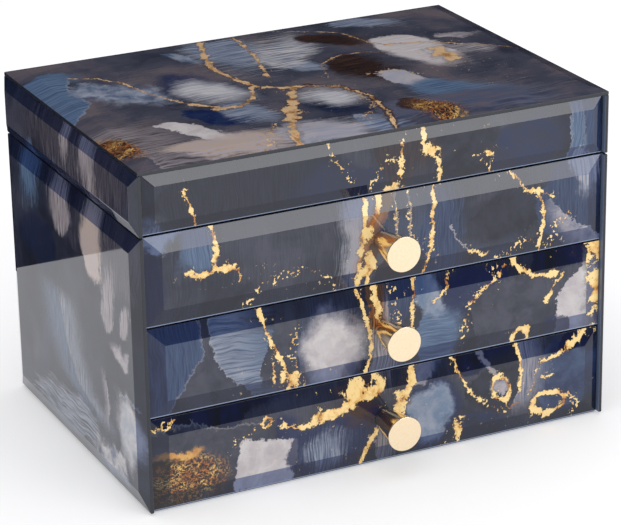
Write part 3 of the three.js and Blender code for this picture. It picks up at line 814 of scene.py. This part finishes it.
def paint_right(art):
    """The right side, in Y and Z."""
    art.ground(NAVY, COAL, SLATE)
    art.wash((-50, 120), (26, 20), PALE, STEEL, turn=-70, fade=1)
    art.wash((10, 96), (22, 30), SKY, NAVY, turn=110, fade=1)
    art.wash((52, 70), (24, 26), SLATE, COAL, "flat", fade=0.4)
    art.wash((-34, 50), (20, 24), LILAC, PALE, "fan", 160)
    art.wash((20, 28), (30, 16), STEEL, NAVY, "flat", 20)
    art.wash((60, 140), (18, 18), LILAC, STEEL, turn=-100)
    art.vein(0.9, (-70, 160), (-40, 120), (-36, 84), (-10, 60))
    art.vein(1.1, (12, 132), (24, 96), (14, 62), (30, 8))
    art.vein(0.8, (30, 60), (54, 44), (80, 50))
    art.clump((18, 78), (4, 9), 15)
    art.clump((-26, 72), (7, 3.5), -30)


def paint_back(art):
    """The back, in X and Z."""
    art.ground(NAVY, COAL, SLATE)
    art.wash((-84, 110), (30, 26), STEEL, NAVY, "flat", 150, fade=1)
    art.wash((-92, 40), (24, 28), PALE, SKY, turn=30, fade=1)
    art.wash((-34, 92), (24, 30), LILAC, STEEL, turn=-110, fade=1)
    art.wash((-28, 30), (30, 22), SLATE, COAL, "flat", fade=0.4)
    art.wash((24, 66), (22, 30), WHITE, PALE, fade=1, edge=0.5)
    art.wash((74, 98), (28, 26), SLATE, BLACK, "flat", 180, fade=0.5)
    art.wash((84, 36), (28, 24), SKY, NAVY, "flat", -160, fade=1)
    art.wash((40, 148), (40, 12), STEEL, NAVY, fade=0.8)
    art.vein(1, (-60, 162), (-52, 112), (-62, 70), (-50, 8))
    art.vein(1.2, (2, 134), (-4, 92), (6, 50), (0, 4))
    art.vein(0.8, (50, 160), (54, 96), (44, 40), (60, 2))
    art.vein(0.9, (54, 76), (80, 64), (112, 72))
    art.clump((0, 76), (4, 12), 8)
    art.clump((-52, 60), (9, 4), 30)


# ---- materials

# Each kind of pane: its painter, its two flat axes, its depth axis, and the sign of its outward side
FACINGS = {
    "front": (paint_lid_and_drawers, 0, 2, 1, -1),
    "back": (paint_back, 0, 2, 1, 1),
    "left": (paint_left, 1, 2, 0, -1),
    "right": (paint_right, 1, 2, 0, 1),
    "top": (paint_top, 0, 1, 2, 1),
}


def printed_glass_material(node, facing, bevel):
    """Glass over an ink print that smears under the ground bevels, where painted shade darkens it."""
    material, graph = new_material(f"printed_glass_{node}")
    paint, across, up, through, outward = FACINGS[facing]
    low, high = (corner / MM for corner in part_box(node))
    position = graph.millimetres()
    flat = graph.join(graph.part(position, across), graph.part(position, up))
    inner_low = (low[across] + bevel, low[up] + bevel, 0)
    inner_high = (high[across] - bevel, high[up] - bevel, 0)
    held = graph.vector("MINIMUM", graph.vector("MAXIMUM", flat, inner_low), inner_high)
    beyond = graph.vector("SUBTRACT", flat, held)
    place = graph.vector("MULTIPLY_ADD", beyond, (BEVEL_SMEAR,) * 3, held)

    art = Print(graph, place, inner_low, inner_high)
    paint(art)
    # Painted shade: the print darkens and turns bluer where it lies under a ground bevel
    in_bevel = graph.smooth(graph.vector("LENGTH", beyond), 0, 0.25)
    bevel_shade_share = TOP_BEVEL_SHADE if facing == "top" else SIDE_BEVEL_SHADE
    art.darken(graph.times(in_bevel, bevel_shade_share), BEVEL_SHADE_COLOUR)
    art.gild()

    face = (low if outward < 0 else high)[through]
    depth = graph.minus(face, graph.part(position, through))
    depth = graph.times(depth, float(outward))
    ground_edge = graph.smooth(depth, BEVEL_DEPTH, BEVEL_DEPTH + 0.1)
    colour = graph.mix(ground_edge, art.colour, GLASS_EDGE)
    colour = graph.mix(graph.math("GREATER_THAN", depth, GLASS_THICKNESS - 0.1), colour, BACKING)
    # A painted glint: a pale line along the bottom edge of each front pane, where light catches the glass
    if facing == "front":
        painted_glint = graph.smooth(graph.part(position, up), low[up] + GLINT_HEAD, low[up] + GLINT_FOOT)
        colour = graph.mix(graph.times(painted_glint, GLINT_STRENGTH), colour, PAINTED_GLINT)
    smudges = graph.noise(flat, 0.02, 3)
    roughness = graph.between(smudges, *NOISE_SPAN, 0.02, 0.045)
    graph.surface(Base_Color=colour, Roughness=roughness, IOR=IOR_OF_GLASS)
    return material


def floor_material():
    """Pale and matt, with a little light of its own."""
    material, graph = new_material("pale_floor")
    tone = graph.ramp(graph.noise(graph.millimetres(), 0.004, 2), (0.3, (0.8, 0.8, 0.8, 1)),
                      (0.7, (0.82, 0.82, 0.82, 1)))
    graph.surface(Base_Color=tone, Roughness=0.9, Specular_IOR_Level=0,
                  Emission_Color=PURE_WHITE, Emission_Strength=FLOOR_GLOW)
    return material


def backdrop_material():
    material, graph = new_material("dark_backdrop")
    graph.surface(Base_Color=BLACK, Roughness=1, Specular_IOR_Level=0)
    return material


def board_material():
    """Board wrapped in a fine grained navy paper."""
    material, graph = new_material("wrapped_board")
    place = graph.millimetres()
    clouds = graph.noise(place, 0.05, 3)
    grain = graph.noise(place, 3.5, 2, 0.7)
    colour = graph.ramp(graph.math("MULTIPLY_ADD", grain, 0.4, clouds),
                        (0.5, ink(24, 25, 36)), (0.9, ink(42, 43, 58)))
    graph.surface(Base_Color=colour, Roughness=graph.between(grain, *NOISE_SPAN, 0.62, 0.8),
                  Normal=graph.bump(grain, 0.08 * MM))
    return material


def velvet_material(name, dark, light):
    """Short pile: fibres that catch light at a slant, and slow brushed patches."""
    material, graph = new_material(name)
    place = graph.millimetres()
    brushed = graph.noise(place, 0.06, 2)
    fibres = graph.noise(place, 5, 2, 0.8)
    colour = graph.ramp(graph.math("MULTIPLY_ADD", fibres, 0.45, brushed), (0.5, dark), (0.95, light))
    graph.surface(Base_Color=colour, Roughness=0.95, Specular_IOR_Level=0.1, Sheen_Weight=0.6,
                  Sheen_Roughness=0.35, Sheen_Tint=ink(150, 155, 200),
                  Normal=graph.bump(fibres, 0.2 * MM))
    return material


def felt_material():
    material, graph = new_material("felt")
    place = graph.millimetres()
    fibres = graph.noise(place, 2.5, 4, 0.8)
    colour = graph.ramp(fibres, (0.35, ink(16, 16, 18)), (0.7, ink(40, 40, 44)))
    graph.surface(Base_Color=colour, Roughness=0.95, Specular_IOR_Level=0.1,
                  Normal=graph.bump(fibres, 0.3 * MM))
    return material


def metal_material(name, find_marks, dull, bright, roughness):
    """Bare metal, whose colour and shine vary a little with its marks."""
    material, graph = new_material(name)
    marks = find_marks(graph, graph.millimetres())
    colour = graph.ramp(marks, (0.3, dull), (0.7, bright))
    shine = graph.between(marks, *NOISE_SPAN, *roughness)
    graph.surface(Base_Color=colour, Metallic=1, Roughness=shine)
    return material


def brass_material():
    return metal_material("polished_brass", lambda graph, place: graph.noise(place, 0.9, 4, 0.7),
                          ink(246, 222, 184), ink(252, 232, 200), (0.09, 0.16))


def steel_material():
    return metal_material("steel", lambda graph, place: graph.stretched_noise(place, (0.4, 4)),
                          ink(170, 173, 178), ink(198, 200, 204), (0.22, 0.36))


def mirror_material():
    return metal_material("mirror", lambda graph, place: graph.noise(place, 0.03, 3),
                          ink(228, 232, 234), ink(236, 239, 240), (0.01, 0.03))


# ---- mesh helpers

def mesh_object(name, shape):
    """Turns a bmesh into a linked object with smooth faces, and frees the bmesh."""
    for face in shape.faces:
        face.smooth = True
    mesh = bpy.data.meshes.new(name)
    shape.to_mesh(mesh)
    shape.free()
    piece = bpy.data.objects.new(name, mesh)
    put_in_scene(piece)
    return piece


def grid_object(name, columns, rows, place):
    """An open sheet whose points are place(s, t) for s and t from 0 to 1."""
    shape = bmesh.new()
    points = [[shape.verts.new(place(i / columns, j / rows)) for j in range(rows + 1)]
              for i in range(columns + 1)]
    for i in range(columns):
        for j in range(rows):
            shape.faces.new((points[i][j], points[i + 1][j], points[i + 1][j + 1], points[i][j + 1]))
    return mesh_object(name, shape)


def hold_flat_faces_flat(piece):
    normals = piece.modifiers.new("normals", "WEIGHTED_NORMAL")
    normals.keep_sharp = True


def stand_for(piece, node, material):
    """The piece takes the place of a CAD node: same body, its own finish."""
    piece.data.materials.clear()
    piece.data.materials.append(material)
    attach(piece, frame["nodes"][node]["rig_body"])
    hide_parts(node)


def refined(node, arris, material, segments=2):
    """A copy of a CAD node with whole faces, and edges rounded by arris millimetres."""
    shape = bmesh.new()
    shape.from_mesh(frame["nodes"][node].data)
    bmesh.ops.remove_doubles(shape, verts=shape.verts, dist=SAME_POINT)
    bmesh.ops.dissolve_limit(shape, angle_limit=FLAT_ANGLE, verts=shape.verts, edges=shape.edges)
    sharp = [edge for edge in shape.edges if edge.calc_face_angle(0) > SHARP_ANGLE]
    bmesh.ops.bevel(shape, geom=sharp, offset=arris * MM, segments=segments, profile=0.5,
                    affect="EDGES", clamp_overlap=True)
    piece = mesh_object(f"{node}_fine", shape)
    hold_flat_faces_flat(piece)
    stand_for(piece, node, material)
    return piece


def lathe(name, profile, place, segments):
    """Turns (radius, distance forward) points about an axis through place that points to the front."""
    shape = bmesh.new()
    rings = []
    for radius, forward in profile:
        if radius == 0:
            rings.append([shape.verts.new(place + Vector((0, -forward, 0)))])
            continue
        angles = [2 * math.pi * k / segments for k in range(segments)]
        ring = [Vector((radius * math.cos(a), -forward, radius * math.sin(a))) for a in angles]
        rings.append([shape.verts.new(place + point) for point in ring])
    for first, second in zip(rings, rings[1:]):
        for k in range(segments):
            n = (k + 1) % segments
            corners = [first[k % len(first)], first[n % len(first)],
                       second[n % len(second)], second[k % len(second)]]
            shape.faces.new(list(dict.fromkeys(corners)))
    bmesh.ops.recalc_face_normals(shape, faces=shape.faces)
    return mesh_object(name, shape)


def rounded_profile(corners, steps=5):
    """Replaces each (radius, forward, rounding) corner by a short curve of that reach."""
    points = []
    for k, (radius, forward, rounding) in enumerate(corners):
        here = Vector((radius, forward))
        if not rounding:
            points.append((radius, forward))
            continue
        before = Vector(corners[k - 1][:2])
        after = Vector(corners[k + 1][:2])
        start = here + (before - here).normalized() * rounding
        end = here + (after - here).normalized() * rounding
        for step in range(steps + 1):
            t = step / steps
            point = start * (1 - t) ** 2 + here * 2 * t * (1 - t) + end * t ** 2
            points.append((point.x, point.y))
    return points


def closed_pad(name, columns, rows, low, high, height):
    """A pad with a flat underside at low.z, whose top is height(s, t) above it."""
    size = high - low
    shape = bmesh.new()

    def layer(rise):
        return [[shape.verts.new((low.x + size.x * i / columns, low.y + size.y * j / rows,
                                  low.z + rise(i / columns, j / rows)))
                 for j in range(rows + 1)] for i in range(columns + 1)]

    bottom = layer(lambda s, t: 0)
    top = layer(height)
    for i in range(columns):
        for j in range(rows):
            shape.faces.new((top[i][j], top[i + 1][j], top[i + 1][j + 1], top[i][j + 1]))
            shape.faces.new((bottom[i][j], bottom[i][j + 1], bottom[i + 1][j + 1], bottom[i + 1][j]))

    def wall(i, j, m, n):
        shape.faces.new((bottom[i][j], top[i][j], top[m][n], bottom[m][n]))

    for j in range(rows):
        wall(0, j, 0, j + 1)
        wall(columns, j + 1, columns, j)
    for i in range(columns):
        wall(i + 1, 0, i, 0)
        wall(i, rows, i + 1, rows)
    return mesh_object(name, shape)


def shoulder(share, reach):
    """Rises from 0 at both ends of 0..1 to 1 within reach, as a round edge does."""
    inward = min(1, min(share, 1 - share) / reach)
    return math.sqrt(max(0, 1 - (1 - inward) ** 2))


# ---- pieces

def add_glass():
    panes = {"lid_top_glass": ("top", WIDE_BEVEL)}
    for side in ("front", "back", "left", "right"):
        panes[f"lid_{side}_glass"] = (side, NARROW_BEVEL)
    for side in ("left", "right"):
        panes[f"{side}_side_glass"] = (side, WIDE_BEVEL)
    panes["back_glass"] = ("back", WIDE_BEVEL)
    for number in DRAWERS:
        panes[f"drawer_{number}_front_glass"] = ("front", WIDE_BEVEL)
    for node, (facing, bevel) in panes.items():
        material = printed_glass_material(node, facing, bevel)
        refined(node, GLASS_ARRIS, material)


def add_knobs(brass):
    for number in DRAWERS:
        node = f"drawer_{number}_knob"
        low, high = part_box(node)
        length = high.y - low.y
        base = Vector(((low.x + high.x) / 2, high.y, (low.z + high.z) / 2))
        profile = rounded_profile([
            (0, KNOB_BORE_DEPTH, 0),
            (KNOB_BORE_RADIUS, KNOB_BORE_DEPTH, 0),
            (KNOB_BORE_RADIUS, 0, 0),
            (KNOB_BASE_RADIUS, 0, KNOB_BASE_ARRIS),
            (KNOB_FACE_RADIUS, length, KNOB_FACE_ARRIS),
            (0, length, 0),
        ])
        knob = lathe(f"{node}_turned", profile, base, KNOB_SEGMENTS)
        hold_flat_faces_flat(knob)
        stand_for(knob, node, brass)


def add_boards(board):
    nodes = ["base_board", "left_side_board", "right_side_board", "back_board", "lower_shelf",
             "upper_shelf", "tray_floor", "tray_front_rail", "lid_panel", "lid_left_board",
             "lid_right_board", "lid_front_board", "lid_back_board"]
    for number in DRAWERS:
        nodes += [f"drawer_{number}_{part}" for part in
                  ("front_board", "left_side", "right_side", "back", "bottom")]
    for node in nodes:
        refined(node, BOARD_ARRIS, board)


def add_metalwork(brass, steel, mirror):
    for side in ("left", "right"):
        refined(f"{side}_hinge_cabinet_leaf", LEAF_ARRIS, brass)
        refined(f"{side}_hinge_lid_leaf", LEAF_ARRIS, brass)
        refined(f"{side}_hinge_pin", PIN_ARRIS, steel)
    for number in DRAWERS:
        refined(f"drawer_{number}_knob_screw", PIN_ARRIS, steel)
    refined("lid_mirror", MIRROR_ARRIS, mirror)


def add_liner(node, velvet):
    """A thin velvet pad with soft edges and a slight unevenness."""
    low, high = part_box(node)
    size = high - low
    edge_x, edge_y = (LINER_EDGE / side for side in (size.x, size.y))
    thickness = size.z

    def height(s, t):
        edge = min(shoulder(s, edge_x), shoulder(t, edge_y))
        ripple = 0.5 + 0.25 * math.sin(23 * s + 4 * t) + 0.25 * math.sin(17 * t - 5 * s)
        return thickness * (0.45 + 0.55 * edge) * (0.93 + 0.07 * ripple)

    pad = closed_pad(f"{node}_pad", 120, 90, low, high, height)
    stand_for(pad, node, velvet)


def add_ring_cushion(velvet):
    """Soft rolls side by side; each swells between its folds and rounds off at both ends."""
    node = "ring_cushion"
    low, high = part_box(node)
    size = high - low
    rise = size.z - RING_BASE

    def height(s, t):
        roll = t * RING_ROLLS
        across = 2 * (roll - math.floor(roll)) - 1 if t < 1 else 1
        crest = math.sqrt(max(0, 1 - across ** 2))
        ends = shoulder(s, 0.07)
        slack = 0.03 * math.sin(9 * s + 2.3 * math.floor(roll))
        return RING_BASE * (0.5 + 0.5 * ends) + rise * crest ** 0.8 * ends * (0.97 + slack)

    cushion = closed_pad(f"{node}_rolls", 48, RING_ROLLS * 14, low, high, height)
    stand_for(cushion, node, velvet)


def add_soft_pieces(velvet, felt):
    add_liner("tray_liner", velvet)
    for number in DRAWERS:
        add_liner(f"drawer_{number}_liner", velvet)
    add_ring_cushion(velvet)
    refined("tray_divider", DIVIDER_ARRIS, velvet, segments=5)
    refined("lid_mirror_frame", MIRROR_FRAME_ARRIS, velvet, segments=4)
    refined("base_felt", FELT_ARRIS, felt, segments=3)


add_camera()
add_stage()
add_glass()
polished_brass = brass_material()
navy_velvet = velvet_material("navy_velvet", ink(18, 20, 38), ink(52, 56, 92))
add_knobs(polished_brass)
add_boards(board_material())
add_metalwork(polished_brass, steel_material(), mirror_material())
add_soft_pieces(navy_velvet, felt_material())
